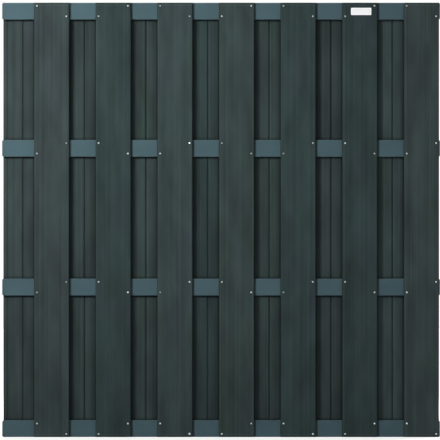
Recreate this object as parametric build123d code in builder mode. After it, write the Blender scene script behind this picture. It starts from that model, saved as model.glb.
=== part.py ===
from build123d import *
import os

# A staggered fence panel. Wide composite boards are screwed upright to the front and the rear of
# four hollow rails, and each rear board stands behind a gap between two front boards.
# Sizes are in millimetres. X runs along the rails, Y from the front to the rear, and Z up. The
# origin is in the middle of the bottom edge, halfway through the depth of the panel.
# The front side and the right end are drawn here. The rear side and the left end are the same
# pieces turned half round about Z, so the panel looks alike from both sides.

# Boards
board_count = 7  # on each side
board_width = 145.0
board_thickness = 12.0
board_length = 1790.0
board_pitch = 254.0
face_radius = 2.5  # long edges of the brushed outer face
back_chamfer = 1.0  # long edges of the inner face

# Grooves that run down the inner face, placed from the board's right edge
edge_groove_place = 15.6
edge_groove_width = 3.2
edge_groove_depth = 1.2
middle_groove_place = 80.0
middle_groove_width = 6.0
middle_groove_depth = 2.5
groove_taper = 30.0  # degrees that each side of a groove leans out

# Rails
rail_height = 69.0
rail_depth = 22.0
rail_wall = 1.8
rail_radius = 2.0
lower_rail_rise = 618.0  # from the bottom edge to the middle of the lower middle rail
upper_rail_drop = 600.0  # from the top edge to the middle of the upper middle rail

# End caps
cap_length = 12.0
cap_overhang = 4.5  # how far a cap stands past the outermost board
cap_radius = 7.0  # top and bottom corners of the cap's outer end
tongue_length = 20.0
tongue_thickness = 3.0
tongue_clearance = 0.2
tongue_lead = 1.0  # chamfer that guides a tongue into the rail

# Screws
head_radius = 4.2
head_height = 2.2
head_slope = 35.0  # degrees that the side of the head leans in
shank_radius = 2.1
screw_reach = 8.0  # how far a screw goes into its rail
tip_length = 4.0
head_sides = 6  # few, because the screws are many
shank_sides = 5
screw_inset = 12.0  # from a side edge of the board
screw_edge_distance = 13.0  # from the top or the bottom of the rail
board_hole_clearance = 0.4
rail_hole_clearance = 0.1

# Blank label plate
label_board = 6
label_width = 84.0
label_height = 30.0
label_thickness = 1.0
label_radius = 3.0
label_inset = 36.0  # from the left edge of its board
label_drop = 21.0  # from the top edge of the panel

# Places that follow from the sizes
side_stagger = board_pitch / 2
board_span = (board_count - 1) * board_pitch + side_stagger + board_width
rail_length = board_span + 2 * (cap_overhang - cap_length)
inner_face = rail_depth / 2
outer_face = inner_face + board_thickness
screw_rise = rail_height / 2 - screw_edge_distance
rail_centres = {
    "bottom": rail_height / 2,
    "lower": lower_rail_rise,
    "upper": board_length - upper_rail_drop,
    "top": board_length - rail_height / 2,
}


def board_left(number):
    """The left edge of a front board, counted from 1 at the left."""
    return side_stagger - board_span / 2 + (number - 1) * board_pitch


def screw_places(number, rail):
    """The two screws of a board on one rail. They stand on a diagonal that leans the other way on
    the next board, and the other way again on the two middle rails."""
    leans_down = (number % 2 == 1) == (rail in ("bottom", "top"))
    rise = screw_rise if leans_down else -screw_rise
    left = board_left(number)
    right = left + board_width
    centre = rail_centres[rail]
    return [(left + screw_inset, centre + rise), (right - screw_inset, centre - rise)]


def board_screw_places(number):
    """Every screw of a board, on all four rails."""
    return [place for rail in rail_centres for place in screw_places(number, rail)]


def turned(piece):
    """The same piece, turned half round about Z."""
    with BuildPart() as copy:
        add(piece.part, rotation=(0, 0, 180))
    return copy


def save(piece, name):
    """Label a finished piece and write it to a file of its own."""
    piece.part.label = name
    export_step(piece.part, f"parts/{name}.step")


def groove(place, width, depth):
    """Cut a groove with leaning sides into the inner face, in the section of a board."""
    with Locations(Location((place, -inner_face), 180)):
        Trapezoid(
            width,
            depth,
            90 - groove_taper,
            align=(Align.CENTER, Align.MIN),
            mode=Mode.SUBTRACT,
        )


def make_board(number):
    """A front board: rounded outer edges, two grooves down its inner face and a hole for each
    screw."""
    left = board_left(number)
    right = left + board_width
    with BuildPart() as board:
        with BuildSketch() as section:
            with Locations((left, -outer_face)):
                Rectangle(board_width, board_thickness, align=Align.MIN)
            fillet(section.vertices().group_by(Axis.Y)[0], face_radius)
            chamfer(section.vertices().group_by(Axis.Y)[-1], back_chamfer)
            groove(right - edge_groove_place, edge_groove_width, edge_groove_depth)
            groove(right - middle_groove_place, middle_groove_width, middle_groove_depth)
        extrude(amount=board_length)
        with BuildSketch(Plane.front.offset(outer_face)):
            with Locations(*board_screw_places(number)):
                RegularPolygon(shank_radius + board_hole_clearance, shank_sides)
        extrude(amount=-board_thickness, mode=Mode.SUBTRACT)
    return board


def make_rail(rail):
    """A rail: a rectangular tube with a hole for each screw in its front and rear walls."""
    with BuildPart() as tube:
        with BuildSketch(Plane.YZ.offset(-rail_length / 2)):
            with Locations((0, rail_centres[rail])):
                RectangleRounded(rail_depth, rail_height, rail_radius)
                Rectangle(
                    rail_depth - 2 * rail_wall,
                    rail_height - 2 * rail_wall,
                    mode=Mode.SUBTRACT,
                )
        extrude(amount=rail_length)
        for side in (Plane.front, Plane.back):
            with BuildSketch(side.offset(inner_face)):
                for number in range(1, board_count + 1):
                    with Locations(*screw_places(number, rail)):
                        RegularPolygon(shank_radius + rail_hole_clearance, shank_sides)
            extrude(amount=-rail_wall, mode=Mode.SUBTRACT)
    return tube


def make_cap(rail):
    """The end cap at the right of a rail: a block with rounded corners over the end of the tube,
    and two tongues that grip inside it, above and below the last screws."""
    centre = rail_centres[rail]
    tongue_top = rail_height / 2 - rail_wall - tongue_clearance
    tongue_middle = tongue_top - tongue_thickness / 2
    tongue_width = rail_depth - 2 * (rail_wall + tongue_clearance)
    with BuildPart() as cap:
        with BuildSketch(Plane.front) as outline:
            with Locations((rail_length / 2, centre)):
                Rectangle(cap_length, rail_height, align=(Align.MIN, Align.CENTER))
            fillet(outline.vertices().group_by(Axis.X)[-1], cap_radius)
        extrude(amount=rail_depth / 2, both=True)
        with BuildSketch(Plane.YZ.offset(rail_length / 2)):
            with Locations((0, centre + tongue_middle), (0, centre - tongue_middle)):
                Rectangle(tongue_width, tongue_thickness)
        extrude(amount=-tongue_length)
        tips = cap.faces().filter_by(Axis.X).group_by(Axis.X)[0]
        tip_edges = tips.edges().filter_by(Axis.Y).group_by(Axis.Z)
        chamfer(tip_edges[0] + tip_edges[-1], tongue_lead)
    return cap


def make_screw():
    """One screw, with the seat of its head on the XY plane and its point downwards."""
    shank_length = board_thickness + screw_reach - tip_length
    with BuildPart() as screw:
        with BuildSketch():
            RegularPolygon(head_radius, head_sides)
        extrude(amount=head_height, taper=head_slope)
        with BuildSketch():
            RegularPolygon(shank_radius, shank_sides)
        extrude(amount=-shank_length)
        with BuildSketch(Plane.XY.offset(-shank_length)) as shank_end:
            RegularPolygon(shank_radius, shank_sides)
        loft([shank_end.sketch.face(), Vertex(0, 0, -shank_length - tip_length)])
    return screw


def make_screws(number, screw):
    """All the screws of a front board, each a solid of its own."""
    with BuildPart(Plane.front.offset(outer_face)) as screws:
        with Locations(*board_screw_places(number)):
            add(screw.part)
    return screws


def make_label():
    """A blank plate with rounded corners, stuck to the outer face of a front board."""
    left = board_left(label_board) + label_inset
    top = board_length - label_drop
    with BuildPart() as label:
        with BuildSketch(Plane.front.offset(outer_face)):
            with Locations((left + label_width / 2, top - label_height / 2)):
                RectangleRounded(label_width, label_height, label_radius)
        extrude(amount=label_thickness)
    return label


os.makedirs("parts", exist_ok=True)

for rail in rail_centres:
    save(make_rail(rail), f"{rail}_rail")
    right_cap = make_cap(rail)
    save(right_cap, f"{rail}_right_cap")
    save(turned(right_cap), f"{rail}_left_cap")

one_screw = make_screw()
for number in range(1, board_count + 1):
    front_board = make_board(number)
    front_screws = make_screws(number, one_screw)
    save(front_board, f"front_board_{number}")
    save(turned(front_board), f"rear_board_{number}")
    save(front_screws, f"front_screws_{number}")
    save(turned(front_screws), f"rear_screws_{number}")

save(make_label(), "label_plate")
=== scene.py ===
"""The looks of a staggered composite fence panel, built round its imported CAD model.

Two rows of upright boards are screwed to the front and the rear of four rails. The boards, the
rails and the label plate keep their CAD shapes and get procedural finishes. The end caps and the
screws are modelled here in more detail, and stand for their CAD nodes.

Everything is in metres. X runs along the rails, Y from the front to the rear, and Z up.
"""

import logging
import math
from collections.abc import Callable, Iterator
from contextlib import contextmanager
from dataclasses import dataclass, field
from enum import Enum
from functools import partial, reduce

import bmesh
import bpy
from mathutils import Matrix, Vector


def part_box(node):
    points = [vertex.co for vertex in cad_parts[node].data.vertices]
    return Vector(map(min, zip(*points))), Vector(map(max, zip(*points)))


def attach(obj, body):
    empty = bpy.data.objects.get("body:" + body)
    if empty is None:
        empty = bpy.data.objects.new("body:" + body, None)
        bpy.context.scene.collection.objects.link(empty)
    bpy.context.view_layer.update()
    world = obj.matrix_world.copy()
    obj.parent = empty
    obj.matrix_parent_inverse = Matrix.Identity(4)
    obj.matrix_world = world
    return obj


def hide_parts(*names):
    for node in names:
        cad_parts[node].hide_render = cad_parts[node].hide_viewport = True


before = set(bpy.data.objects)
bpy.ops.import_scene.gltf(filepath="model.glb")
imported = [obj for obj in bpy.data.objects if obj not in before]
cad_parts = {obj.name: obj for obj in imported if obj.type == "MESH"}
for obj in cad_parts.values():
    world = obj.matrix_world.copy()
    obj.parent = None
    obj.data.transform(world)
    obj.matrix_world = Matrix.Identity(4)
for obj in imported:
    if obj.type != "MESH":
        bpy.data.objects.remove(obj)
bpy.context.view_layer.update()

log = logging.getLogger("fence_panel")

Colour = tuple[float, float, float]
Place = tuple[float, float, float]
Span = tuple[float, float]
Face = bmesh.types.BMFace
Edge = bmesh.types.BMEdge
Point = bmesh.types.BMVert
Piece = bpy.types.Object
Material = bpy.types.Material
Node = bpy.types.Node
Socket = bpy.types.NodeSocket
Given = Socket | float | tuple[float, ...]

WHITE: Colour = (1.0, 1.0, 1.0)

# The share of a soft band's width that has its full strength
BAND_CORE = 0.2

# How straight along an axis a face looks that counts as facing it, loosely and strictly
FACING = 0.9
SQUARE_ON = 0.999

# How far apart two places may be that count as one
TOLERANCE = 1e-4

# Sizes that several parts share
BOARD_COUNT = 7
BOARD_WIDTH = 0.145
BOARD_LENGTH = 1.79
BOARD_PITCH = 0.254
INNER_FACE = 0.011
GAP_HALF = 0.0545
RAIL_HALF_HEIGHT = 0.0345
SCREW_INSET = 0.012
SCREW_RISE = 0.0215


class Side(Enum):
    """The two sides of the panel. The value is the sign of Y there."""

    FRONT = -1
    REAR = 1

    @property
    def word(self) -> str:
        """The word that starts the names of this side's nodes."""
        return self.name.lower()


class Rail(Enum):
    """The four rails. The value starts the names of a rail's nodes."""

    BOTTOM = "bottom"
    LOWER = "lower"
    UPPER = "upper"
    TOP = "top"

    @property
    def is_outer(self) -> bool:
        """Whether the rail closes the panel at its top or bottom edge."""
        return self in (Rail.BOTTOM, Rail.TOP)

    @property
    def centre(self) -> float:
        """The height of the middle of the rail."""
        low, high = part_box(f"{self.value}_rail")
        return (low.z + high.z) / 2


class RailEnd(Enum):
    """The two ends of a rail. The value is the sign of X there."""

    LEFT = -1
    RIGHT = 1

    @property
    def word(self) -> str:
        """The word for this end in the names of the caps."""
        return self.name.lower()


class Batch(Enum):
    """The batches of composite. The value is the tint of a batch beside the plain colour."""

    COOL = (0.935, 1.01, 1.01)
    GREEN = (0.985, 1.0, 0.955)
    PLAIN = (1.0, 1.0, 1.0)
    WARM = (1.045, 0.995, 1.0)

    def tinted(self, colour: Colour) -> Colour:
        """Return a colour as this batch has it."""
        return tuple(part * share for part, share in zip(colour, self.value))


@dataclass(frozen=True)
class BoardSpot:
    """The place of one board in the panel.

    Attributes:
        side: The side of the panel.
        number: The board, counted from the left by someone who looks at that side.
    """

    side: Side
    number: int

    @property
    def node(self) -> str:
        """The name of the board's CAD node."""
        return f"{self.side.word}_board_{self.number}"

    @property
    def centre(self) -> float:
        """The middle of the board's width."""
        low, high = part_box(self.node)
        return (low.x + high.x) / 2

    @property
    def bare_end(self) -> RailEnd | None:
        """The end of the rails where no board of the other side lies over this one's edge."""
        outermost = RailEnd(-self.side.value)
        return outermost if self.number == BOARD_COUNT else None

    @property
    def screw_slope(self) -> float:
        """1 where the screws on the outer rails climb towards +X, and -1 where they fall."""
        return float(self.side.value * (1 if self.number % 2 else -1))


# Modelling by hand


class Pick(Enum):
    """What is selected in edit mode. The value names a mesh's list of it."""

    FACE = "faces"
    EDGE = "edges"
    VERT = "verts"

    def where(self, piece: Piece, wanted: Callable[[Face | Edge | Point], bool]) -> None:
        """Select exactly those that pass a test. The object is in edit mode.

        Args:
            piece: The object that is being edited.
            wanted: Says of a face, an edge or a vertex whether it is to be selected.
        """
        bpy.ops.mesh.select_mode(type=self.name)
        bpy.ops.mesh.select_all(action="DESELECT")
        mesh = bmesh.from_edit_mesh(piece.data)
        for element in getattr(mesh, self.value):
            element.select_set(wanted(element))
        bmesh.update_edit_mesh(piece.data)


def deselect_all() -> None:
    """Leave nothing selected in object mode."""
    bpy.ops.object.select_all(action="DESELECT")


def make_active(piece: Piece) -> None:
    """Select one object alone and make it the active one.

    Args:
        piece: The object to work on.
    """
    deselect_all()
    piece.select_set(True)
    bpy.context.view_layer.objects.active = piece


@contextmanager
def editing(piece: Piece) -> Iterator[None]:
    """Work on an object in edit mode, and leave edit mode afterwards.

    Args:
        piece: The object to edit.
    """
    make_active(piece)
    bpy.ops.object.mode_set(mode="EDIT")
    yield
    bpy.ops.object.mode_set(mode="OBJECT")


def extrude_by(offset: Place) -> None:
    """Extrude the selected faces, and move what is new."""
    bpy.ops.mesh.extrude_region_move(TRANSFORM_OT_translate={"value": offset})


def place_in_mesh(piece: Piece) -> None:
    """Put an object's place, turn and scale into its mesh."""
    make_active(piece)
    bpy.ops.object.transform_apply(location=True, rotation=True, scale=True)


def smooth_by_angle(piece: Piece, degrees: float) -> None:
    """Shade an object smooth, but keep edges that are sharper than an angle."""
    make_active(piece)
    bpy.ops.object.shade_smooth_by_angle(angle=math.radians(degrees))


def new_block(size: Place, centre: Place) -> Piece:
    """Start a piece from a cube.

    Args:
        size: Its lengths along the three axes.
        centre: The place of its middle.

    Returns:
        The piece, with its size and place in its mesh.
    """
    deselect_all()
    bpy.ops.mesh.primitive_cube_add(size=1.0, location=centre)
    block = bpy.context.active_object
    block.scale = size
    place_in_mesh(block)
    return block


def copy_of(piece: Piece, name: str, place: Matrix) -> Piece:
    """Copy an object with a mesh of its own, moved in the mesh.

    Args:
        piece: The object to copy.
        name: The name of the copy.
        place: The move or turn from the original to the copy.

    Returns:
        The copy, with its object at the origin.
    """
    twin = piece.copy()
    twin.data = piece.data.copy()
    twin.name = twin.data.name = name
    twin.data.transform(place)
    bpy.context.scene.collection.objects.link(twin)
    return twin


def joined(pieces: list[Piece], name: str) -> Piece:
    """Join several objects into one.

    Args:
        pieces: The objects to join.
        name: The name of the joined object.

    Returns:
        The joined object.
    """
    make_active(pieces[0])
    for piece in pieces[1:]:
        piece.select_set(True)
    bpy.ops.object.join()
    whole = bpy.context.active_object
    whole.name = whole.data.name = name
    return whole


def stand_for(piece: Piece, node: str, material: Material) -> None:
    """Dress a finished piece, and let it ride on the panel in the place of a CAD node.

    Args:
        piece: The finished piece.
        node: The CAD node that it stands for.
        material: The finish of the piece.
    """
    piece.data.materials.clear()
    piece.data.materials.append(material)
    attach(piece, "root")
    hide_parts(node)
    log.info("%s stands for %s, with %d faces", piece.name, node, len(piece.data.polygons))


def dress_node(node: str, material: Material) -> None:
    """Give a CAD node, which keeps its shape, a better finish.

    Args:
        node: The name of the CAD node.
        material: The finish that it gets.
    """
    for material_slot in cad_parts[node].material_slots:
        material_slot.material = material
    log.info("%s is finished as %s", node, material.name)


# Node trees


class NodeSheet:
    """Adds nodes to one node tree and joins them."""

    def __init__(self, tree: bpy.types.NodeTree) -> None:
        """Start on the tree of a material, of a group or of the world."""
        self.tree = tree

    def found(self, kind: str) -> Node:
        """Return the node of a type that the tree already has."""
        return next(node for node in self.tree.nodes if node.type == kind)

    def feed(self, socket: Socket, value: Given) -> None:
        """Join a socket to another one, or set its value.

        Args:
            socket: The input to feed.
            value: Another node's output, or a plain value. A plain colour has three parts.
        """
        if isinstance(value, Socket):
            self.tree.links.new(value, socket)
        else:
            socket.default_value = (*value, 1.0) if socket.type == "RGBA" else value

    def node(
        self, kind: str, inputs: dict[str | int, Given] | None = None, **settings: object
    ) -> Node:
        """Add a node.

        Args:
            kind: Blender's name for the type of the node.
            inputs: What feeds its inputs, by their names or places.
            **settings: The node's own settings.

        Returns:
            The new node.
        """
        node = self.tree.nodes.new(kind)
        for name, value in settings.items():
            setattr(node, name, value)
        for socket, value in (inputs or {}).items():
            self.feed(node.inputs[socket], value)
        return node

    def math(self, operation: str, *values: Given) -> Socket:
        """Return the result of a Math node on one, two or three values."""
        node = self.node("ShaderNodeMath", dict(enumerate(values)), operation=operation)
        return node.outputs[0]

    def folded(self, operation: str, *values: Given) -> Socket:
        """Join any number of values by one operation, from the first to the last."""
        return reduce(partial(self.math, operation), values)

    def product(self, *values: Given) -> Socket:
        """Multiply any number of values."""
        return self.folded("MULTIPLY", *values)

    def scaled_sum(self, value: Given, factor: Given, rest: Given) -> Socket:
        """Multiply a value by a factor, and add the rest."""
        return self.math("MULTIPLY_ADD", value, factor, rest)

    def less(self, value: Given, part: Given) -> Socket:
        """Take a part away from a value."""
        return self.math("SUBTRACT", value, part)

    def size(self, value: Given) -> Socket:
        """Return a value without its sign."""
        return self.math("ABSOLUTE", value)

    def rest(self, mask: Given) -> Socket:
        """Return what a mask leaves out."""
        return self.less(1.0, mask)

    def toned(self, tone: Given, mask: Given, share: float) -> Socket:
        """Change a tone by a share of itself where a mask says so. Below 0 it gets darker."""
        return self.product(tone, self.scaled_sum(mask, share, 1.0))

    def vector(self, operation: str, *values: Given) -> Node:
        """Add a Vector Math node on one or two vectors."""
        return self.node("ShaderNodeVectorMath", dict(enumerate(values)), operation=operation)

    def scaled(self, vector: Given, factor: Given) -> Socket:
        """Multiply a vector or a colour by one number."""
        inputs = {0: vector, "Scale": factor}
        return self.node("ShaderNodeVectorMath", inputs, operation="SCALE").outputs[0]

    def parts(self, vector: Given) -> list[Socket]:
        """Take a vector apart into its three numbers."""
        return list(self.node("ShaderNodeSeparateXYZ", {0: vector}).outputs)

    def noise(
        self, vector: Given, scale: Given, detail: float = 2.0, roughness: float = 0.5
    ) -> Socket:
        """Return a noise round a half. Its scale says how many features go in a metre."""
        inputs = {"Vector": vector, "Scale": scale, "Detail": detail, "Roughness": roughness}
        return self.node("ShaderNodeTexNoise", inputs, noise_dimensions="3D").outputs[0]

    def blend(self, factor: Given, first: Given, second: Given) -> Socket:
        """Mix two colours. A factor of 0 gives the first and 1 the second."""
        inputs = {0: factor, 6: first, 7: second}
        return self.node("ShaderNodeMix", inputs, data_type="RGBA").outputs[2]

    def between(self, factor: Given, first: Given, second: Given) -> Socket:
        """Mix two numbers. A factor of 0 gives the first and 1 the second."""
        inputs = {0: factor, 2: first, 3: second}
        return self.node("ShaderNodeMix", inputs, data_type="FLOAT").outputs[0]

    def ramp(self, value: Given, start: Given, end: Given) -> Socket:
        """Turn a value's way from start to end, up or down, into a soft step from 0 to 1."""
        inputs = {"Value": value, "From Min": start, "From Max": end}
        return self.node("ShaderNodeMapRange", inputs, interpolation_type="SMOOTHSTEP").outputs[0]

    def band(self, value: Given, middle: float, half: float) -> Socket:
        """Mark a soft band that reaches half its width to both sides of a middle."""
        return self.ramp(self.size(self.less(value, middle)), half, half * BAND_CORE)


# Effects that several finishes share


class SharedEffect(NodeSheet):
    """The inside of an effect, which is built once as a node group.

    A subclass names the group and its sockets, and wires them. It takes its vectors from the
    surface, and all else that it takes or gives is a number.
    """

    name = ""
    vectors = ("Vector", "Normal")
    takes: tuple[str, ...] = ()
    gives: tuple[str, ...] = ()

    def __init__(self) -> None:
        """Make the group with its sockets, and wire it."""
        super().__init__(bpy.data.node_groups.new(self.name, "ShaderNodeTree"))
        for way, sockets in (("INPUT", self.takes), ("OUTPUT", self.gives)):
            for socket in sockets:
                kind = "NodeSocketVector" if socket in self.vectors else "NodeSocketFloat"
                self.tree.interface.new_socket(socket, in_out=way, socket_type=kind)
        self.given = self.node("NodeGroupInput").outputs
        self.exit = self.node("NodeGroupOutput")
        self.wire()

    @classmethod
    def group(cls) -> bpy.types.NodeTree:
        """Return the node group, which is made the first time."""
        return bpy.data.node_groups.get(cls.name) or cls().tree

    def give(self, socket: str, value: Given) -> None:
        """Feed an output of the group."""
        self.feed(self.exit.inputs[socket], value)

    def wire(self) -> None:
        """Join what the group is given to what it gives."""
        raise NotImplementedError


class StretchedNoise(SharedEffect):
    """A noise that is drawn out along Z, and swings round 0."""

    takes = ("Vector", "Scale", "Stretch", "Contrast")

    def stretched(self) -> Socket:
        """Draw the noise out as far as the given stretch says.

        Returns:
            Where the noise is read.
        """
        squeeze = self.math("DIVIDE", 1.0, self.given["Stretch"])
        shape = self.node("ShaderNodeCombineXYZ", {0: 1.0, 1: 1.0, 2: squeeze}).outputs[0]
        return self.vector("MULTIPLY", self.given["Vector"], shape).outputs[0]

    def moved(self, place: Socket, shift: Place) -> Socket:
        """Read the noise further away, so that its layers differ."""
        return self.vector("ADD", place, shift).outputs[0]

    def swing(self, noise: Socket) -> Socket:
        """Let a noise swing round 0, as far as the given contrast says."""
        return self.product(self.less(noise, 0.5), self.given["Contrast"])


class BrushLines(StretchedNoise):
    """Fine lines along Z, as a wire brush leaves them, with broader ones among them.

    Attributes:
        broad_shift: How far from the fine lines the broad ones are read.
        broad_scale: The scale of the broad lines, as a share of the fine ones'.
        broad_share: The share of the broad lines in the tone.
    """

    name = "brush_lines"
    gives = ("Tone", "Height")
    broad_shift: Place = (3.1, 1.7, 0.4)
    broad_scale = 0.29
    broad_share = 0.4

    def wire(self) -> None:
        """Mix fine lines with broad ones."""
        place, scale = self.stretched(), self.given["Scale"]
        fine = self.noise(place, scale, detail=3.0, roughness=0.6)
        broad_scale = self.product(scale, self.broad_scale)
        broad = self.noise(self.moved(place, self.broad_shift), broad_scale, detail=1.0)
        self.give("Tone", self.swing(self.between(self.broad_share, fine, broad)))
        self.give("Height", fine)


class ToneDrift(StretchedNoise):
    """Slow changes of tone and hue, in tall patches.

    Attributes:
        shifts: How far away the noise is read for each output.
    """

    name = "tone_drift"
    gives = ("Tone", "Hue")
    shifts = {"Tone": 7.3, "Hue": 12.9}

    def wire(self) -> None:
        """Read the noise at one place for the tone and at another for the hue."""
        place = self.stretched()
        for output, shift in self.shifts.items():
            there = self.moved(place, (shift, shift / 2, shift / 3))
            self.give(output, self.swing(self.noise(there, self.given["Scale"])))


class RubbedEdges(SharedEffect):
    """Where an edge is rounded over, with gaps as handling leaves them.

    The coats lighten it as rubbed wear and a painted highlight, and the plate yellows it.

    Attributes:
        slant: How far a face lies aslant where the mask starts and is full.
        gaps: The strength of the noise where a gap ends and the mask is full.
        gaps_scale: How many gaps go in a metre.
    """

    name = "rubbed_edges"
    takes = ("Vector", "Normal")
    gives = ("Mask",)
    slant: Span = (0.03, 0.2)
    gaps: Span = (0.3, 0.6)
    gaps_scale = 60.0

    def wire(self) -> None:
        """Find the faces that lie aslant to all three axes, or to two."""
        parts = self.parts(self.vector("ABSOLUTE", self.given["Normal"]).outputs[0])
        slant = self.ramp(self.rest(self.folded("MAXIMUM", *parts)), *self.slant)
        gaps = self.noise(self.given["Vector"], self.gaps_scale, detail=3.0)
        self.give("Mask", self.product(slant, self.ramp(gaps, *self.gaps)))


class FineGrit(SharedEffect):
    """A fine even grain, as in powder coat, moulded plastic and sawn composite.

    Attributes:
        speck: The strength of the noise where a speck starts and is full.
        speck_scale: The scale of the specks, as a share of the grains'.
    """

    name = "fine_grit"
    takes = ("Vector", "Grains")
    gives = ("Grain", "Speck")
    speck: Span = (0.62, 0.72)
    speck_scale = 0.35

    def wire(self) -> None:
        """Read a fine noise, and pick the strongest grains of a coarser one as specks."""
        place, grains = self.given["Vector"], self.given["Grains"]
        self.give("Grain", self.noise(place, grains, roughness=0.6))
        coarse = self.noise(place, self.product(grains, self.speck_scale))
        self.give("Speck", self.ramp(coarse, *self.speck))


class BoardMarks(SharedEffect):
    """Painted shade and highlights on a board from its place in the panel, and darker ends.

    Painted shade darkens the grooves of the inner face, the strips along the boards that lie over
    it and along the rails, and the rounded long edges of the outer face. A painted highlight
    lightens a lip of the middle groove and a line beside the left edge. The very ends are darker,
    with a lighter line a little inside them.

    Attributes:
        shares: How much of its tone each mark adds to the board or, below 0, takes from it.
        groove_top: Where below the inner face the mark of a groove starts and is full.
        groove_floor: Where below the inner face it has ended and is still full.
        near: How far from the board that lies over it the soft and the dark painted shade start.
        rail_strip: Where the painted shade beside a rail starts and is full.
        end_rim: Where the darker rim of an end starts and is full.
        left_scuff, lip, end_scuff: The middle and half the width of each lighter line.
        left_half: Where beside the board's middle the painted highlight at its left starts and is
            full.
    """

    name = "board_marks"
    takes = ("Vector", "Normal", "Centre", "Outward", "Left Cover", "Right Cover")
    gives = ("Shade", "Dirt")

    # Shares below 0 are painted shade, except the end rim; above 0, painted highlights, except
    # the end line.
    shares = {
        "groove": -0.42,
        "soft dirt": -0.25,
        "dark dirt": -0.72,
        "rail strip": -0.42,
        "long rim": -0.62,
        "left scuff": 0.16,
        "lip": 0.08,
        "end rim": -0.35,
        "end scuff": 0.3,
    }
    groove_top: Span = (0.0001, 0.0009)
    groove_floor: Span = (0.0045, 0.0035)
    near: Span = (0.03, 0.0075)
    rail_strip: Span = (RAIL_HALF_HEIGHT + 0.0125, RAIL_HALF_HEIGHT + 0.0035)
    end_rim: Span = (0.0075, 0.0045)
    left_scuff: Span = (0.0045, 0.0035)
    lip: Span = (0.0135, 0.004)
    end_scuff: Span = (0.0098, 0.0034)
    left_half: Span = (0.0, 0.02)

    def wire(self) -> None:
        """Measure how far a point is from the edges, the rails and the grooves."""
        x, y, z = self.parts(self.given["Vector"])
        steep, face_slope, end_slope = self.parts(self.given["Normal"])
        outward, steep = self.given["Outward"], self.size(steep)
        across = self.less(x, self.given["Centre"])
        leftward = self.product(across, outward)
        inner = self.ramp(self.product(face_slope, outward), -0.3, -0.8)
        outer = self.rest(inner)
        from_edge = self.less(BOARD_WIDTH / 2, self.size(across))
        from_end = self.math("MINIMUM", z, self.less(BOARD_LENGTH, z))
        from_rail = self.folded(
            "MINIMUM", *(self.size(self.less(z, rail.centre)) for rail in Rail)
        )
        groove = self.in_grooves(y, steep, self.size(end_slope))
        soft, dark = (self.product(inner, self.covered(across, reach)) for reach in self.near)
        left_highlit = self.product(
            self.band(from_edge, *self.left_scuff), self.ramp(leftward, *self.left_half)
        )
        # Painted shade: the grooves, the strips by the covering boards and by the rails, and the
        # long rims. Painted highlight: the line beside the left edge and the lip.
        masks = {
            "groove": groove,
            "soft dirt": soft,
            "dark dirt": dark,
            "rail strip": self.product(inner, self.ramp(from_rail, *self.rail_strip)),
            "long rim": self.product(self.ramp(steep, 0.1, 0.6), outer),
            "left scuff": self.product(left_highlit, outer),
            "lip": self.product(self.band(leftward, *self.lip), inner),
            "end rim": self.ramp(from_end, *self.end_rim),
            "end scuff": self.band(from_end, *self.end_scuff),
        }
        shade: Given = 1.0
        for mark, mask in masks.items():
            shade = self.toned(shade, mask, self.shares[mark])
        self.give("Shade", shade)
        self.give("Dirt", groove)

    def in_grooves(self, y: Socket, side_slope: Socket, end_slope: Socket) -> Socket:
        """Mark the floor and the leaning sides of the grooves in the inner face.

        Args:
            y: The place of a point between the front and the rear.
            side_slope: How far its face looks sideways, without its sign.
            end_slope: How far its face looks up or down, without its sign.

        Returns:
            The mask.
        """
        depth = self.less(self.size(y), INNER_FACE)
        return self.product(
            self.ramp(depth, *self.groove_top),
            self.ramp(depth, *self.groove_floor),
            self.ramp(side_slope, 0.98, 0.92),
            self.ramp(end_slope, 0.9, 0.5),
        )

    def covered(self, across: Socket, reach: float) -> Socket:
        """Mark where the boards of the other side come close to lying over this one.

        Args:
            across: How far a point is from the middle of the board.
            reach: How far from the other board the mark starts.

        Returns:
            The mask.
        """
        left = self.ramp(self.product(across, -1.0), GAP_HALF - reach, GAP_HALF)
        right = self.ramp(across, GAP_HALF - reach, GAP_HALF)
        left = self.product(left, self.given["Left Cover"])
        return self.math("MAXIMUM", left, self.product(right, self.given["Right Cover"]))


class ScrewSeats(SharedEffect):
    """Painted shade: the dark rings on a board round its eight screws.

    Attributes:
        ring: How far from a screw's middle its ring starts and is full.
    """

    name = "screw_seats"
    takes = ("Vector", "Centre", "Slope")
    gives = ("Ring",)
    ring: Span = (0.0085, 0.0045)

    def wire(self) -> None:
        """Measure how far a point is from the nearest screw."""
        x, _, z = self.parts(self.given["Vector"])
        across = self.less(x, self.given["Centre"])
        beside = self.less(self.size(across), BOARD_WIDTH / 2 - SCREW_INSET)
        climb = self.product(self.math("SIGN", across), self.given["Slope"], SCREW_RISE)
        heights = []
        for rail in Rail:
            turn = "SUBTRACT" if rail.is_outer else "ADD"
            heights.append(self.size(self.math(turn, self.less(z, rail.centre), climb)))
        above = self.folded("MINIMUM", *heights)
        square = self.scaled_sum(beside, beside, self.product(above, above))
        self.give("Ring", self.ramp(self.math("SQRT", square), *self.ring))


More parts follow.
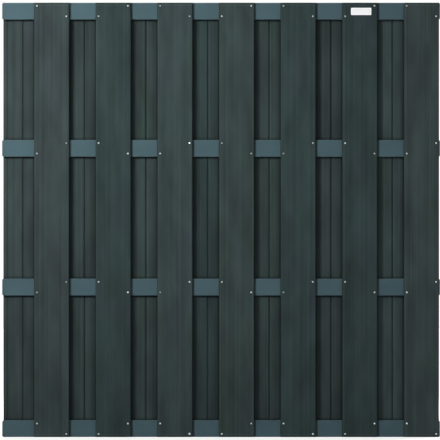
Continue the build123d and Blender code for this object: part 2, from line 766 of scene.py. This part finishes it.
class RailMarks(SharedEffect):
    """A painted shadow: the dark strip on a rail at the left of each gap, beside the board.

    Attributes:
        gap_centre: The middle of the first gap, from the left.
        strip: How far from the middle of a gap its strip starts and is full.
        first_gap: Where along the rail the strips start, in the first gap.
    """

    name = "rail_marks"
    takes = ("Vector", "Normal")
    gives = ("Strip",)
    gap_centre = -0.8255
    strip: Span = (GAP_HALF - 0.012, GAP_HALF - 0.0045)
    first_gap: Span = (-0.86, -0.84)

    def wire(self) -> None:
        """Measure how far a point is from the middle of its gap between two boards."""
        x = self.parts(self.given["Vector"])[0]
        face_slope = self.parts(self.given["Normal"])[1]
        along = self.product(x, self.math("SIGN", face_slope), -1.0)
        low, high = self.gap_centre - BOARD_PITCH / 2, self.gap_centre + BOARD_PITCH / 2
        away = self.less(self.gap_centre, self.math("WRAP", along, high, low))
        strip = self.product(
            self.ramp(away, *self.strip),
            self.ramp(self.size(face_slope), 0.3, 0.7),
            self.ramp(along, *self.first_gap),
        )
        self.give("Strip", strip)


# Finishes


class MaterialSheet(NodeSheet):
    """The node sheet of a new material with a Principled BSDF.

    Attributes:
        material: The material.
        shader: Its shader.
        place: Where a point of the surface lies.
        normal: Which way the surface looks there.
    """

    def __init__(self, name: str) -> None:
        """Start a material.

        Args:
            name: The name of the material.
        """
        self.material = bpy.data.materials.new(name)
        self.material.use_nodes = True
        super().__init__(self.material.node_tree)
        self.shader = self.found("BSDF_PRINCIPLED")
        coords = self.node("ShaderNodeTexCoord").outputs
        self.place, self.normal = coords["Object"], coords["Normal"]

    def shade(self, socket: str, value: Given) -> None:
        """Feed an input of the shader."""
        self.feed(self.shader.inputs[socket], value)

    def bump(self, height: Given, depth: float) -> None:
        """Raise the surface by a height from 0 to 1, as far as the depth at 1."""
        node = self.node("ShaderNodeBump", {"Height": height, "Distance": depth})
        self.shade("Normal", node.outputs[0])

    def effect(self, kind: type[SharedEffect], **values: float) -> dict[str, Socket]:
        """Place a shared effect on the surface.

        Args:
            kind: The effect.
            **values: Its other inputs, with small letters and underscores in their names.

        Returns:
            The outputs of the effect by name.
        """
        surface = {"Vector": self.place, "Normal": self.normal}
        inputs = {name: socket for name, socket in surface.items() if name in kind.takes}
        inputs |= {name.replace("_", " ").title(): value for name, value in values.items()}
        node = self.node("ShaderNodeGroup", inputs, node_tree=kind.group())
        return {name: node.outputs[name] for name in kind.gives}


class Finish:
    """A finish that pieces can have."""

    def material(self, name: str) -> Material:
        """Make a material with this finish.

        Args:
            name: The name of the material.

        Returns:
            The material.
        """
        sheet = MaterialSheet(name)
        self.cover(sheet)
        return sheet.material

    def cover(self, sheet: MaterialSheet) -> None:
        """Wire the finish on a node sheet."""
        raise NotImplementedError


@dataclass(frozen=True)
class BrushedComposite(Finish):
    """Wood and plastic composite, brushed lengthwise, with sawn ends.

    Attributes:
        greenish: The colour where it turns to green.
        bluish: The colour where it turns to blue.
        sawn: The colour of the sawn ends.
        hue_swing: How fast it turns from one to the other.
        ring_dirt: What the painted shade rings round the screws take from the tone.
        darkest: The least tone that marks and lines leave.
        roughness: The roughness of the brushed faces.
        sawn_roughness: The roughness of the sawn ends.
        gloss: The level of the reflections.
        relief: The height of the brushed lines.
        tone: How light the board is beside the others.
        batch: The batch that it comes from.
        spot: Its place in the panel.
    """

    greenish: Colour = (0.0325, 0.0545, 0.0495)
    bluish: Colour = (0.036, 0.051, 0.0565)
    sawn: Colour = (0.040, 0.050, 0.049)
    hue_swing: float = 1.8
    ring_dirt: float = -0.4
    darkest: float = 0.15
    roughness: float = 0.6
    sawn_roughness: float = 0.88
    gloss: float = 0.12
    relief: float = 0.0004
    tone: float = 1.0
    batch: Batch = Batch.PLAIN
    spot: BoardSpot = BoardSpot(Side.FRONT, 1)

    def cover(self, sheet: MaterialSheet) -> None:
        """Wire the brushed faces, the sawn ends, and the painted shade and highlights.

        Args:
            sheet: The node sheet of the material.
        """
        spot, outward = self.spot, float(self.spot.side.value)
        lines = sheet.effect(BrushLines, scale=420.0, stretch=500.0, contrast=0.8)
        streaks = sheet.effect(BrushLines, scale=125.0, stretch=180.0, contrast=0.95)
        drift = sheet.effect(ToneDrift, scale=13.0, stretch=3.0, contrast=1.1)
        grit = sheet.effect(FineGrit, grains=1500.0)
        seats = sheet.effect(ScrewSeats, centre=spot.centre, slope=spot.screw_slope)
        marks = sheet.effect(
            BoardMarks,
            centre=spot.centre,
            outward=outward,
            left_cover=float(spot.bare_end is not RailEnd.LEFT),
            right_cover=float(spot.bare_end is not RailEnd.RIGHT),
        )
        _, face_slope, end_slope = sheet.parts(sheet.normal)
        ends = sheet.ramp(sheet.size(end_slope), 0.6, 0.9)
        outer = sheet.ramp(sheet.product(face_slope, outward), 0.3, 0.8)

        tone = sheet.folded("ADD", lines["Tone"], streaks["Tone"], drift["Tone"], 1.0)
        # The Shade output carries the board's painted shade and painted highlights.
        tone = sheet.product(tone, self.tone, marks["Shade"])
        # Painted shade in rings round the screw heads, on the outer face.
        tone = sheet.toned(tone, sheet.product(seats["Ring"], outer), self.ring_dirt)
        tone = sheet.math("MAXIMUM", tone, self.darkest)
        hue = sheet.scaled_sum(drift["Hue"], self.hue_swing, 0.5)
        greenish, bluish = (self.batch.tinted(c) for c in (self.greenish, self.bluish))
        brushed = sheet.scaled(sheet.blend(hue, greenish, bluish), tone)
        grainy = sheet.math("ADD", sheet.scaled_sum(grit["Grain"], 0.8, 0.6), grit["Speck"])
        sheet.shade("Base Color", sheet.blend(ends, brushed, sheet.scaled(self.sawn, grainy)))

        rough = sheet.scaled_sum(lines["Tone"], -0.5, self.roughness)
        rough = sheet.scaled_sum(marks["Dirt"], 0.25, rough)
        sheet.shade("Roughness", sheet.between(ends, rough, self.sawn_roughness))
        sheet.shade("Specular IOR Level", self.gloss)
        height = sheet.scaled_sum(grit["Grain"], 0.15, lines["Height"])
        sheet.bump(sheet.between(ends, height, grit["Grain"]), self.relief)


@dataclass(frozen=True)
class GrainedCoat(Finish):
    """A coat or a plastic with a fine grain, slow drifts, and rounded edges lighter by rubbed
    wear and a painted highlight.

    Attributes:
        colour: The plain colour.
        rubbed: The colour of the rounded edges, worn and with a painted highlight.
        drift: The scale, the stretch and the contrast of the drifts.
        grains: How many grains go in a metre.
        tone: The tone between the grains.
        grain_tone: How much lighter a grain is.
        roughness: The roughness between the grains.
        grain_roughness: How much rougher a grain is.
        drift_roughness: How far the drifts change the roughness.
        gloss: The level of the reflections.
        relief: The height of a grain.
    """

    colour: Colour
    rubbed: Colour
    drift: tuple[float, float, float]
    grains: float
    tone: float
    grain_tone: float
    roughness: float
    grain_roughness: float
    drift_roughness: float
    gloss: float
    relief: float

    def cover(self, sheet: MaterialSheet) -> None:
        """Wire the grain, the drifts and the rubbed edges.

        Args:
            sheet: The node sheet of the material.
        """
        scale, stretch, contrast = self.drift
        drift = sheet.effect(ToneDrift, scale=scale, stretch=stretch, contrast=contrast)
        grain = sheet.effect(FineGrit, grains=self.grains)["Grain"]
        edges = sheet.effect(RubbedEdges)["Mask"]
        tone = sheet.math("ADD", drift["Tone"], self.tone)
        tone = self.marked(sheet, sheet.scaled_sum(grain, self.grain_tone, tone))
        # The rounded edges get a lighter colour: rubbed wear and a painted highlight.
        colour = sheet.blend(edges, self.colour, self.rubbed)
        sheet.shade("Base Color", sheet.scaled(colour, tone))
        rough = sheet.scaled_sum(grain, self.grain_roughness, self.roughness)
        rough = sheet.scaled_sum(drift["Hue"], self.drift_roughness, rough)
        sheet.shade("Roughness", rough)
        sheet.shade("Specular IOR Level", self.gloss)
        sheet.bump(grain, self.relief)

    def marked(self, sheet: MaterialSheet, tone: Socket) -> Socket:
        """Return the tone with the marks of its place on it, of which this finish has none."""
        return tone


@dataclass(frozen=True)
class PowderCoat(GrainedCoat):
    """Satin powder coat on aluminium, with painted shadow strips beside the boards.

    Attributes:
        strip_dirt: What the painted shadow strips take from the tone.
    """

    colour: Colour = (0.0585, 0.109, 0.1275)
    rubbed: Colour = (0.125, 0.2, 0.22)
    drift: tuple[float, float, float] = (7.0, 0.6, 0.35)
    grains: float = 900.0
    tone: float = 0.92
    grain_tone: float = 0.16
    roughness: float = 0.35
    grain_roughness: float = 0.2
    drift_roughness: float = 0.3
    gloss: float = 0.2
    relief: float = 0.00012
    strip_dirt: float = -0.6

    def marked(self, sheet: MaterialSheet, tone: Socket) -> Socket:
        """Return the tone with the painted shadow strips on it."""
        return sheet.toned(tone, sheet.effect(RailMarks)["Strip"], self.strip_dirt)


@dataclass(frozen=True)
class MouldedPlastic(GrainedCoat):
    """Moulded plastic with a fine spark-eroded grain."""

    colour: Colour = (0.0585, 0.108, 0.126)
    rubbed: Colour = (0.11, 0.175, 0.195)
    drift: tuple[float, float, float] = (30.0, 1.0, 0.3)
    grains: float = 2600.0
    tone: float = 0.9
    grain_tone: float = 0.2
    roughness: float = 0.45
    grain_roughness: float = 0.25
    drift_roughness: float = 0.0
    gloss: float = 0.2
    relief: float = 0.00015


@dataclass(frozen=True)
class SatinSteel(Finish):
    """Stainless steel with turning marks, and painted shade where a face turns from the head's
    axis.

    Attributes:
        bright: The colour of the metal where it is worn.
        dull: The colour of the metal elsewhere.
        rim: The colour of the painted shade on the sloping rim of the head and in its drive.
        wear_scale: How many worn spots go in a metre.
        roughness: The roughness between the marks.
        relief: The height of the turning marks.
    """

    bright: Colour = (0.62, 0.69, 0.69)
    dull: Colour = (0.25, 0.285, 0.285)
    rim: Colour = (0.1, 0.1, 0.1)
    wear_scale: float = 700.0
    roughness: float = 0.2
    relief: float = 0.00004

    def cover(self, sheet: MaterialSheet) -> None:
        """Wire the wear, the rim and the turning marks.

        Args:
            sheet: The node sheet of the material.
        """
        grain = sheet.effect(FineGrit, grains=3500.0)["Grain"]
        marks = sheet.effect(BrushLines, scale=4000.0, stretch=6.0, contrast=1.0)
        drift = sheet.effect(ToneDrift, scale=14.0, stretch=1.0, contrast=1.2)
        spots = sheet.noise(sheet.place, self.wear_scale, detail=3.0)
        worn = sheet.ramp(sheet.math("ADD", spots, drift["Tone"]), 0.3, 0.75)
        metal = sheet.blend(worn, self.dull, self.bright)
        # Painted highlight and shade: faces that look along the head's axis keep the metal, and
        # the sloping rim and the drive's walls get the dark rim colour.
        crown = sheet.ramp(sheet.size(sheet.parts(sheet.normal)[1]), 0.55, 0.93)
        sheet.shade("Base Color", sheet.blend(crown, self.rim, metal))
        rough = sheet.scaled_sum(grain, 0.25, self.roughness)
        sheet.shade("Roughness", sheet.scaled_sum(marks["Tone"], 0.2, rough))
        sheet.shade("Metallic", 1.0)
        sheet.bump(marks["Height"], self.relief)


@dataclass(frozen=True)
class GlossPlate(Finish):
    """White gloss plastic, a little yellowed, with a faint ripple and a painted glow.

    Attributes:
        white: The colour of the plate.
        yellowed: The colour where it has aged.
        whitener: How strongly the plate glows by itself, a painted light that keeps it white.
        roughness: The roughness between the ripples.
        gloss: The level of the reflections.
        relief: The height of the ripple.
    """

    white: Colour = (0.99, 0.99, 0.99)
    yellowed: Colour = (0.95, 0.945, 0.93)
    whitener: float = 0.17
    roughness: float = 0.15
    gloss: float = 0.9
    relief: float = 0.00003

    def cover(self, sheet: MaterialSheet) -> None:
        """Wire the ageing and the ripple.

        Args:
            sheet: The node sheet of the material.
        """
        drift = sheet.effect(ToneDrift, scale=40.0, stretch=1.0, contrast=1.2)["Tone"]
        grain = sheet.effect(FineGrit, grains=700.0)["Grain"]
        edges = sheet.effect(RubbedEdges)["Mask"]
        aged = sheet.math("MAXIMUM", sheet.math("ADD", drift, 0.1), edges)
        sheet.shade("Base Color", sheet.blend(aged, self.white, self.yellowed))
        sheet.shade("Roughness", sheet.scaled_sum(grain, 0.2, self.roughness))
        sheet.shade("Specular IOR Level", self.gloss)
        # A painted glow: the plate gives off light of its own, so that it stays white.
        sheet.shade("Emission Color", WHITE)
        sheet.shade("Emission Strength", self.whitener)
        sheet.bump(grain, self.relief)


# The panel


@dataclass
class Boards:
    """The two rows of boards, which keep their CAD shape.

    Attributes:
        tones: How light each board is beside the others, on each side.
        batches: The batch of each board, by its first letter.
    """

    tones: dict[Side, tuple[float, ...]] = field(
        default_factory=lambda: {
            Side.FRONT: (0.99, 0.86, 1.02, 1.05, 0.945, 0.925, 1.12),
            Side.REAR: (1.27, 0.95, 1.0, 0.92, 1.01, 0.9, 1.05),
        }
    )
    batches: dict[Side, str] = field(
        default_factory=lambda: {Side.FRONT: "WCPGCCW", Side.REAR: "PWGCGPW"}
    )

    def dress(self) -> None:
        """Give each board its own shade of the brushed finish."""
        by_letter = {batch.name[0]: batch for batch in Batch}
        for side, tones in self.tones.items():
            shades = zip(tones, self.batches[side])
            for number, (tone, letter) in enumerate(shades, start=1):
                spot = BoardSpot(side, number)
                finish = BrushedComposite(tone=tone, batch=by_letter[letter], spot=spot)
                material = finish.material(f"brushed_composite_{side.word}_{number}")
                dress_node(spot.node, material)


@dataclass
class Rails:
    """The four rails, which keep their CAD shape."""

    finish: PowderCoat = PowderCoat()

    def dress(self) -> None:
        """Give the rails their coat."""
        coat = self.finish.material("rail_powder_coat")
        for rail in Rail:
            dress_node(f"{rail.value}_rail", coat)


@dataclass
class EndCaps:
    """The moulded caps that close the rails.

    Attributes:
        length: How far a cap stands out of its rail.
        height: The height of a cap.
        depth: The depth of a cap.
        corner: The radius of the two outer corners.
        corner_steps: How many flats a corner is made of.
        seam_start: Where the shadow line beside the rail starts.
        seam_width: The width of the shadow line.
        seam_depth: The depth of the shadow line.
        panel_inset: How far the sunk panel in the end stays inside the edge.
        panel_depth: The depth of the sunk panel.
        edge: The radius of the small edges.
        edge_steps: How many flats a small edge is made of.
        sharp: The least turn of an edge that is rounded, in degrees.
        tongue: The length, width and thickness of a tongue.
        tongue_rise: The height of the middle of a tongue over the middle of the rail.
        tongue_lead: The chamfer at the tip of a tongue.
    """

    length: float = 0.012
    height: float = 0.069
    depth: float = 0.022
    corner: float = 0.007
    corner_steps: int = 8
    seam_start: float = 0.0008
    seam_width: float = 0.0008
    seam_depth: float = 0.0005
    panel_inset: float = 0.004
    panel_depth: float = 0.0008
    edge: float = 0.0007
    edge_steps: int = 2
    sharp: float = 50.0
    tongue: Place = (0.02, 0.018, 0.003)
    tongue_rise: float = 0.031
    tongue_lead: float = 0.001
    finish: MouldedPlastic = MouldedPlastic()

    def block(self) -> Piece:
        """Model the body of a cap, with its back on the YZ plane.

        Returns:
            The body, in its own mesh.
        """
        size = (self.length, self.depth, self.height)
        body = new_block(size, (self.length / 2, 0.0, 0.0))
        with editing(body):
            Pick.EDGE.where(body, self.is_outer_corner)
            bpy.ops.mesh.bevel(offset=self.corner, segments=self.corner_steps, affect="EDGES")
            for place in (self.seam_start, self.seam_start + self.seam_width):
                bpy.ops.mesh.select_all(action="SELECT")
                bpy.ops.mesh.bisect(plane_co=(place, 0.0, 0.0), plane_no=(1.0, 0.0, 0.0))
            Pick.FACE.where(body, self.is_seam)
            bpy.ops.mesh.extrude_region_shrink_fatten(
                TRANSFORM_OT_shrink_fatten={"value": -self.seam_depth}
            )
            Pick.FACE.where(body, self.is_outer_end)
            bpy.ops.mesh.inset(thickness=self.panel_inset)
            extrude_by((-self.panel_depth, 0.0, 0.0))
        rounding = body.modifiers.new("edges", "BEVEL")
        rounding.width = self.edge / 2
        rounding.segments = self.edge_steps
        rounding.limit_method = "ANGLE"
        rounding.angle_limit = math.radians(self.sharp)
        make_active(body)
        bpy.ops.object.modifier_apply(modifier=rounding.name)
        return body

    def is_outer_corner(self, edge: Edge) -> bool:
        """Whether an edge of the block runs along Y at its outer end."""
        one, other = (point.co for point in edge.verts)
        return abs(one.y - other.y) > self.depth / 2 and min(one.x, other.x) > self.length / 2

    def is_outer_end(self, face: Face) -> bool:
        """Whether a face closes the block at its outer end."""
        return face.normal.x > SQUARE_ON and face.calc_center_median().x > self.length / 2

    def is_seam(self, face: Face) -> bool:
        """Whether a face lies in the band of the shadow line."""
        middle = face.calc_center_median().x
        return self.seam_start < middle < self.seam_start + self.seam_width

    def tongue_piece(self, rise: float) -> Piece:
        """Model one tongue, which points into the rail.

        Args:
            rise: The height of its middle.

        Returns:
            The tongue, in its own mesh.
        """
        length, width, thickness = self.tongue
        size = (length + self.edge, width, thickness)
        tongue = new_block(size, ((self.edge - length) / 2, 0.0, rise))
        with editing(tongue):
            Pick.EDGE.where(tongue, lambda edge: max(end.co.x for end in edge.verts) < 0.0)
            bpy.ops.mesh.bevel(offset=self.tongue_lead, segments=1, affect="EDGES")
        return tongue

    def build(self) -> None:
        """Model one cap, and put a copy at each end of each rail."""
        tongues = [self.tongue_piece(rise) for rise in (self.tongue_rise, -self.tongue_rise)]
        cap = joined([self.block(), *tongues], "cap_pattern")
        smooth_by_angle(cap, degrees=35)
        plastic = self.finish.material("cap_plastic")
        for rail in Rail:
            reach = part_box(f"{rail.value}_rail")[1].x
            for end in RailEnd:
                turn = Matrix.Rotation(0.0 if end is RailEnd.RIGHT else math.pi, 4, "Z")
                place = Matrix.Translation((end.value * reach, 0.0, rail.centre)) @ turn
                node = f"{rail.value}_{end.word}_cap"
                stand_for(copy_of(cap, f"{node}_moulded", place), node, plastic)
        bpy.data.objects.remove(cap)


@dataclass
class Screws:
    """The screws, in groups of eight to a board.

    Attributes:
        head_radius: The radius of the head.
        rim_height: The height of the upright rim of the head.
        crown: Rings of the crown, as height over the seat and radius.
        drive_radius: The radius of the star drive at its points.
        drive_waist: The radius between the points, as a share of the drive radius.
        drive_depth: The depth of the drive.
        shank_radius: The radius of the shank.
        shank_length: The length of the shank down to where the point starts.
        tip_length: The length of the point.
        tip_share: The radius of the point's end, as a share of the shank's.
        sides: How many sides a round is made of.
        inset: How far a screw sits from the edge of its board.
        rise: How far it sits from the middle of its rail.
    """

    head_radius: float = 0.0042
    rim_height: float = 0.0005
    crown: tuple[Span, ...] = ((0.0012, 0.0039), (0.0018, 0.0032), (0.0022, 0.0022))
    drive_radius: float = 0.0017
    drive_waist: float = 0.7
    drive_depth: float = 0.0012
    shank_radius: float = 0.0021
    shank_length: float = 0.016
    tip_length: float = 0.004
    tip_share: float = 0.02
    sides: int = 12
    inset: float = SCREW_INSET
    rise: float = SCREW_RISE
    finish: SatinSteel = SatinSteel()

    def pattern(self) -> Piece:
        """Model one screw, with its seat on the XY plane and its head up.

        Returns:
            The screw, in its own mesh.
        """
        deselect_all()
        bpy.ops.mesh.primitive_cylinder_add(
            vertices=self.sides,
            radius=self.head_radius,
            depth=self.rim_height,
            location=(0.0, 0.0, self.rim_height / 2),
        )
        screw = bpy.context.active_object
        place_in_mesh(screw)
        with editing(screw):
            self.raise_crown(screw)
            self.sink_drive(screw)
            self.draw_shank(screw)
        smooth_by_angle(screw, degrees=40)
        return screw

    def raise_crown(self, screw: Piece) -> None:
        """Draw the top of the head up into a low crown.

        Args:
            screw: The screw, in edit mode.
        """
        Pick.FACE.where(screw, lambda face: face.normal.z > FACING)
        height, radius = self.rim_height, self.head_radius
        for next_height, next_radius in self.crown:
            extrude_by((0.0, 0.0, next_height - height))
            share = next_radius / radius
            bpy.ops.transform.resize(value=(share, share, 1.0))
            height, radius = next_height, next_radius

    def sink_drive(self, screw: Piece) -> None:
        """Sink a star drive into the top of the head.

        Args:
            screw: The screw, in edit mode.
        """
        top, crown_radius = self.crown[-1]
        bpy.ops.mesh.inset(thickness=crown_radius - self.drive_radius)
        Pick.VERT.where(screw, self.is_waist)
        waist = (self.drive_waist, self.drive_waist, 1.0)
        bpy.ops.transform.resize(value=waist, center_override=(0.0, 0.0, top))
        Pick.FACE.where(screw, self.is_drive)
        extrude_by((0.0, 0.0, -self.drive_depth))

    def is_waist(self, point: Point) -> bool:
        """Whether a vertex of the head is to lie between two points of the star.

        Args:
            point: The vertex.

        Returns:
            Whether it is every second one of the drive's rim.
        """
        x, y, z = point.co
        top, step = self.crown[-1][0], 2 * math.pi / self.sides
        on_rim = z > top - TOLERANCE and math.hypot(x, y) < self.drive_radius + TOLERANCE
        return on_rim and round(math.atan2(y, x) / step) % 2 == 0

    def is_drive(self, face: Face) -> bool:
        """Whether a face looks up from the middle of the head."""
        return face.normal.z > FACING and face.calc_center_median().xy.length < TOLERANCE

    def draw_shank(self, screw: Piece) -> None:
        """Draw the shank and its point out of the underside of the head.

        Args:
            screw: The screw, in edit mode.
        """
        Pick.FACE.where(screw, lambda face: face.normal.z < -FACING)
        bpy.ops.mesh.inset(thickness=self.head_radius - self.shank_radius)
        for step, share in ((self.shank_length, 1.0), (self.tip_length, self.tip_share)):
            extrude_by((0.0, 0.0, -step))
            bpy.ops.transform.resize(value=(share, share, 1.0))

    def seats(self, spot: BoardSpot) -> list[Vector]:
        """Find the seats of a board's eight screws on its outer face.

        Args:
            spot: The place of the board.

        Returns:
            The seats.
        """
        low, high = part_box(spot.node)
        facing = -spot.side.value
        left, right = sorted((low.x * facing, high.x * facing))
        face = low.y if spot.side is Side.FRONT else high.y
        seats = []
        for rail in Rail:
            leans_down = (spot.number % 2 == 1) == rail.is_outer
            rise = self.rise if leans_down else -self.rise
            seats.append(Vector((facing * (left + self.inset), face, rail.centre + rise)))
            seats.append(Vector((facing * (right - self.inset), face, rail.centre - rise)))
        return seats

    def build(self) -> None:
        """Model one screw, and drive a copy into each seat."""
        pattern = self.pattern()
        steel = self.finish.material("screw_steel")
        for side in Side:
            outward = Matrix.Rotation(math.radians(90 * -side.value), 4, "X")
            for number in range(1, BOARD_COUNT + 1):
                node = f"{side.word}_screws_{number}"
                copies = [
                    copy_of(pattern, f"{node}_{place}", Matrix.Translation(seat) @ outward)
                    for place, seat in enumerate(self.seats(BoardSpot(side, number)), start=1)
                ]
                stand_for(joined(copies, f"{node}_round"), node, steel)
        bpy.data.objects.remove(pattern)


@dataclass
class LabelPlate:
    """The blank label plate, which keeps its CAD shape."""

    finish: GlossPlate = GlossPlate()

    def dress(self) -> None:
        """Give the plate its gloss."""
        dress_node("label_plate", self.finish.material("label_gloss_white"))


# The studio


@dataclass(frozen=True)
class Lamp:
    """A soft lamp.

    Attributes:
        name: The name of the lamp.
        place: Where it hangs.
        target: The point that it faces.
        size: Its width and height.
        power: Its power in watts.
        beam: The whole angle of its beam in degrees, which a grid in front of it may narrow.
    """

    name: str
    place: Place
    target: Place
    size: Span
    power: float
    beam: float = 180.0

    def hang(self) -> None:
        """Put the lamp into the scene."""
        light = bpy.data.lights.new(self.name, "AREA")
        light.shape = "RECTANGLE"
        light.size, light.size_y = self.size
        light.energy = self.power
        light.spread = math.radians(self.beam)
        lamp = bpy.data.objects.new(self.name, light)
        lamp.location = self.place
        aim = Vector(self.target) - Vector(self.place)
        lamp.rotation_euler = aim.to_track_quat("-Z", "Y").to_euler()
        lamp.visible_camera = False
        bpy.context.scene.collection.objects.link(lamp)
        log.info("%s hangs at %s", self.name, self.place)


@dataclass
class Studio:
    """The pale floor, the white surroundings, the lamps and the camera.

    Attributes:
        floor_size: The length of the floor's sides.
        floor_colour: The colour of the floor as light falls on it.
        floor_glow: How white the floor is by itself near the panel, from 0 to 1.
        turns_white: How far from the panel the floor starts to turn white, and is white.
        fill: The strength of the light from all round.
        lamps: The lamps.
        frame_width: How much of the panel's front goes across the picture.
        frame_centre: The point in the middle of the picture.
        distance: How far the camera stands from that point.
        sensor: The width of the camera's sensor in millimetres.
    """

    floor_size: float = 60.0
    floor_colour: Colour = (0.8, 0.8, 0.8)
    floor_glow: float = 0.7
    turns_white: Span = (1.2, 4.0)
    fill: float = 0.15
    lamps: tuple[Lamp, ...] = (
        Lamp("key_lamp", (-3.92, -4.67, 3.4), (-1.34, 0.0, 1.84), (3.3, 2.55), 39.0, 41.4),
        Lamp("side_lamp", (2.92, -4.26, 1.43), (0.3, 0.0, 0.9), (1.75, 1.75), 17.0),
        Lamp("rear_lamp", (2.9, 5.0, 3.2), (0.0, 0.0, 0.9), (3.0, 3.0), 300.0),
    )
    frame_width: float = 1.813
    frame_centre: Place = (-0.0045, -0.023, 0.8946)
    distance: float = 30.0
    sensor: float = 36.0

    def white_for_the_eye(self, sheet: NodeSheet) -> Socket:
        """Find the rays that see plain white: the camera's, and those in gloss and glass.

        Args:
            sheet: The node sheet of the floor or of the world.

        Returns:
            1 for those rays and 0 for the others.
        """
        rays = sheet.node("ShaderNodeLightPath").outputs
        seen = (rays[f"Is {kind} Ray"] for kind in ("Camera", "Glossy", "Transmission"))
        return sheet.folded("MAXIMUM", *seen)

    def floor_material(self) -> Material:
        """Make a pale floor that keeps the panel's shadow and turns white further out.

        Returns:
            The material.
        """
        sheet = MaterialSheet("floor_white")
        sheet.shade("Base Color", self.floor_colour)
        sheet.shade("Roughness", 0.9)
        sheet.shade("Specular IOR Level", 0.0)
        reach = sheet.vector("LENGTH", sheet.place).outputs["Value"]
        glow = sheet.between(sheet.ramp(reach, *self.turns_white), self.floor_glow, 1.0)
        strength = sheet.product(glow, self.white_for_the_eye(sheet))
        emission = sheet.node("ShaderNodeEmission", {"Strength": strength}).outputs[0]
        both = sheet.node("ShaderNodeAddShader", {0: sheet.shader.outputs[0], 1: emission})
        sheet.feed(sheet.found("OUTPUT_MATERIAL").inputs["Surface"], both.outputs[0])
        return sheet.material

    def lay_floor(self) -> None:
        """Lay the floor."""
        deselect_all()
        bpy.ops.mesh.primitive_plane_add(size=self.floor_size, location=(0.0, 0.0, 0.0))
        floor = bpy.context.active_object
        floor.name = "floor"
        with editing(floor):
            bpy.ops.mesh.subdivide(number_cuts=3)
        floor.data.materials.append(self.floor_material())
        log.info("floor is laid")

    def light_surroundings(self) -> None:
        """Make the surroundings white to look at, and a low even light on the panel."""
        world = bpy.data.worlds.new("surroundings")
        world.use_nodes = True
        bpy.context.scene.world = world
        sheet = NodeSheet(world.node_tree)
        background = sheet.found("BACKGROUND").inputs
        sheet.feed(background["Color"], WHITE)
        strength = sheet.between(self.white_for_the_eye(sheet), self.fill, 1.0)
        sheet.feed(background["Strength"], strength)

    def set_camera(self) -> None:
        """Set a long lens square to the front of the panel."""
        lens = bpy.data.cameras.new("camera")
        lens.sensor_width = self.sensor
        lens.lens = self.sensor * self.distance / self.frame_width
        lens.clip_end = self.distance * 3
        camera = bpy.data.objects.new("camera", lens)
        camera.location = Vector(self.frame_centre) - Vector((0.0, self.distance, 0.0))
        camera.rotation_euler = (math.radians(90), 0.0, 0.0)
        bpy.context.scene.collection.objects.link(camera)
        bpy.context.scene.camera = camera

    def build(self) -> None:
        """Set up the floor, the light and the camera."""
        bpy.context.scene.view_settings.view_transform = "Standard"
        self.lay_floor()
        self.light_surroundings()
        for lamp in self.lamps:
            lamp.hang()
        self.set_camera()


def clear_default_objects() -> None:
    """Remove the lamp, the camera and the cube of a new file."""
    for name in ("Light", "Camera", "Cube"):
        if name in bpy.data.objects:
            bpy.data.objects.remove(bpy.data.objects[name])


def main() -> None:
    """Build and dress every part of the panel, and the studio round it."""
    logging.basicConfig(level=logging.INFO, format="%(name)s: %(message)s")
    clear_default_objects()
    Boards().dress()
    Rails().dress()
    LabelPlate().dress()
    EndCaps().build()
    Screws().build()
    Studio().build()


if __name__ == "__main__":
    main()
